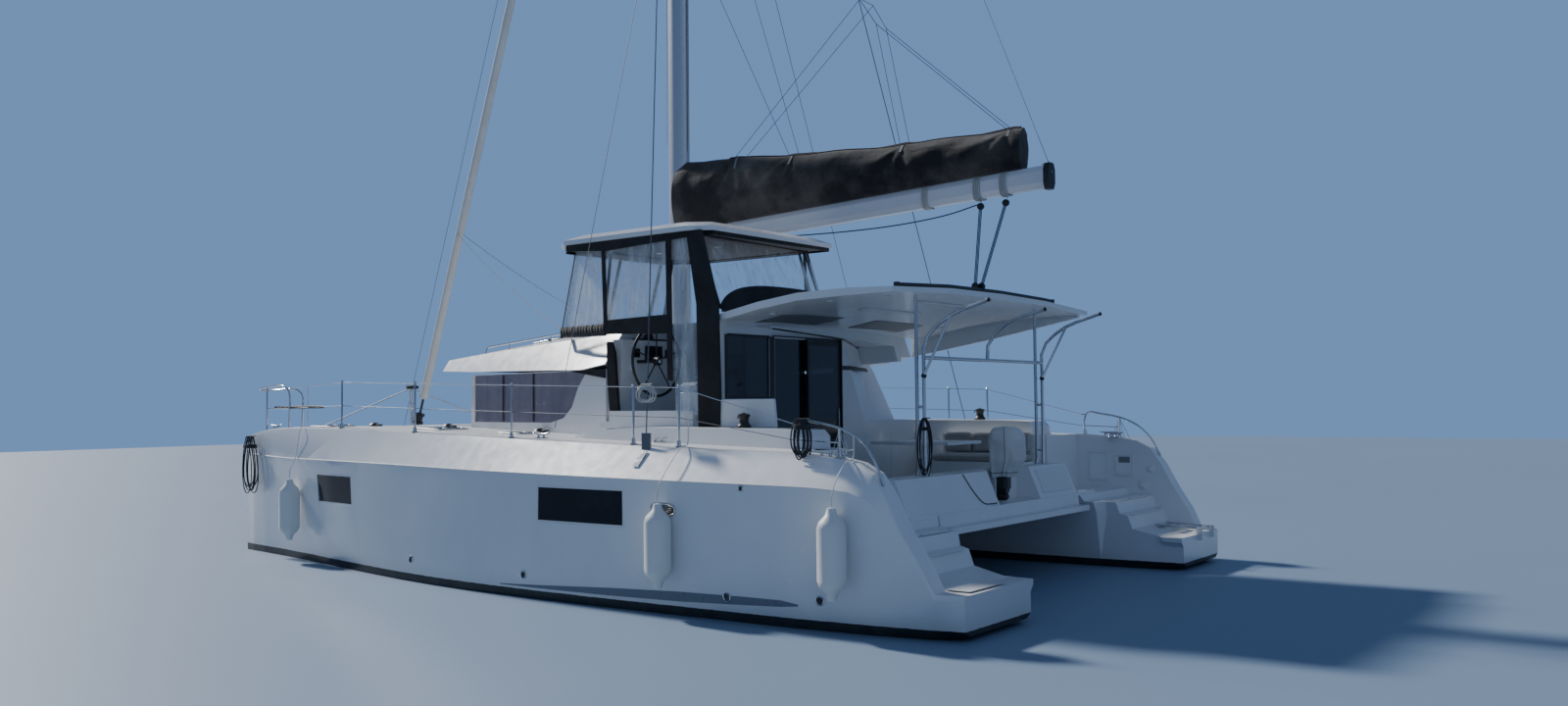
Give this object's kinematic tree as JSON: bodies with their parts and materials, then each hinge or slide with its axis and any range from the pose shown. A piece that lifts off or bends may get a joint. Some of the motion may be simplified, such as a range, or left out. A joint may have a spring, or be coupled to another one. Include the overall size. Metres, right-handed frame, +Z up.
{
  "type": "sailing catamaran",
  "caption": "Sailing catamaran with raised helm, cockpit hardtop, stowed mainsail on a swinging boom, furled jib, fin keels, rudders and propellers.",
  "frame": {"origin": "at the waterline, on the centreline, amidships", "axes": "+X forward to the bows, +Y to port, +Z up"},
  "size_m": [12.9676, 7.9825, 21.85],
  "materials": {
    "gelcoat": "gloss",
    "bottom_paint": "matte",
    "smoked_glass": "gloss",
    "shaded_glass": "gloss",
    "clear_vinyl": "gloss",
    "black_fabric": "matte",
    "canvas": "matte",
    "stainless": "polished",
    "aluminium": "satin",
    "sail_white": "matte",
    "fender": "satin",
    "net": "matte",
    "black_plastic": "satin",
    "cushion": "matte",
    "bronze": "satin"
  },
  "bodies": {
    "platform": {"hull_port": "gelcoat", "hull_starboard": "gelcoat", "keel_port": "bottom_paint", "keel_starboard": "bottom_paint", "bridgedeck": "gelcoat", "cockpit_aft": "gelcoat", "saloon_walls": "gelcoat", "window_front": "shaded_glass", "window_port": "shaded_glass", "window_starboard": "shaded_glass", "coachroof": "gelcoat", "bulkhead": "gelcoat", "window_galley": "smoked_glass", "door_fixed": "smoked_glass", "door_track": "black_plastic", "helm_pod": "gelcoat", "helm_seat": "cushion", "helm_hardtop": "gelcoat", "helm_frame": "black_plastic", "helm_enclosure": "clear_vinyl", "helm_curtain": "clear_vinyl", "helm_pillar": "black_fabric", "cockpit_hardtop": "gelcoat", "davit_frame": "stainless", "cockpit_bench": "gelcoat", "cockpit_cushion": "cushion", "cockpit_table": "gelcoat", "crossbeam": "aluminium", "longeron": "aluminium", "trampoline_port": "net", "trampoline_starboard": "net", "pulpit_port": "stainless", "pulpit_starboard": "stainless", "guardrail_port": "stainless", "guardrail_starboard": "stainless", "stern_rail_port": "stainless", "stern_rail_starboard": "stainless", "mast": "aluminium", "jib_drum": "black_plastic", "furled_jib": "sail_white", "shroud_port": "stainless", "shroud_starboard": "stainless", "saildrive_port": "black_plastic", "saildrive_starboard": "black_plastic", "fender_1": "fender", "fender_2": "fender", "fender_3": "fender", "outboard_cover": "sail_white"},
    "boom": {"boom": "aluminium", "sail_bag": "canvas"},
    "wheel": {"helm_wheel": "black_plastic"},
    "rudder_port": {"rudder_port": "bottom_paint"},
    "rudder_starboard": {"rudder_starboard": "bottom_paint"},
    "propeller_port": {"propeller_port": "bronze"},
    "propeller_starboard": {"propeller_starboard": "bronze"},
    "door": {"door_sliding": "smoked_glass"},
    "ladder": {"swim_ladder": "stainless"},
    "lid_port": {"foredeck_lid_port": "gelcoat"},
    "lid_starboard": {"foredeck_lid_starboard": "gelcoat"}
  },
  "joints": [
    {"name": "boom_swing", "type": "hinge", "parent": "platform", "child": "boom", "pos_m": [-0.37, 0, 4.505], "axis": [0, 0, 1], "range_deg": [-50, 50]},
    {"name": "wheel_turn", "type": "hinge", "parent": "platform", "child": "wheel", "pos_m": [-1.32, 1.98, 2.69], "axis": [1, 0, 0], "range_deg": [-450, 450]},
    {"name": "rudder_port_turn", "type": "hinge", "parent": "platform", "child": "rudder_port", "pos_m": [-5.15, 2.85, -0.33], "axis": [0, 0, 1], "range_deg": [-35, 35]},
    {"name": "rudder_starboard_turn", "type": "hinge", "parent": "platform", "child": "rudder_starboard", "pos_m": [-5.15, -2.85, -0.33], "axis": [0, 0, 1], "range_deg": [-35, 35]},
    {"name": "propeller_port_spin", "type": "hinge", "parent": "platform", "child": "propeller_port", "pos_m": [-3.94, 2.85, -0.76], "axis": [1, 0, 0], "continuous": true},
    {"name": "propeller_starboard_spin", "type": "hinge", "parent": "platform", "child": "propeller_starboard", "pos_m": [-3.94, -2.85, -0.76], "axis": [1, 0, 0], "continuous": true},
    {"name": "door_slide", "type": "slide", "parent": "platform", "child": "door", "axis": [0, 1, 0], "range_m": [0, 0.66]},
    {"name": "ladder_fold", "type": "hinge", "parent": "platform", "child": "ladder", "pos_m": [-6.432, -2.95, 0.47], "axis": [0, -1, 0], "range_deg": [0, 250]},
    {"name": "lid_port_lift", "type": "hinge", "parent": "platform", "child": "lid_port", "pos_m": [2.96, 0.73, 1.7003], "axis": [0, -1, 0], "range_deg": [0, 85]},
    {"name": "lid_starboard_lift", "type": "hinge", "parent": "platform", "child": "lid_starboard", "pos_m": [2.96, -0.73, 1.7003], "axis": [0, -1, 0], "range_deg": [0, 85]}
  ],
  "couplings": [
    {"joint": "rudder_starboard_turn", "follows": "rudder_port_turn", "ratio": 1},
    {"joint": "wheel_turn", "follows": "rudder_port_turn", "ratio": 12.857}
  ]
}
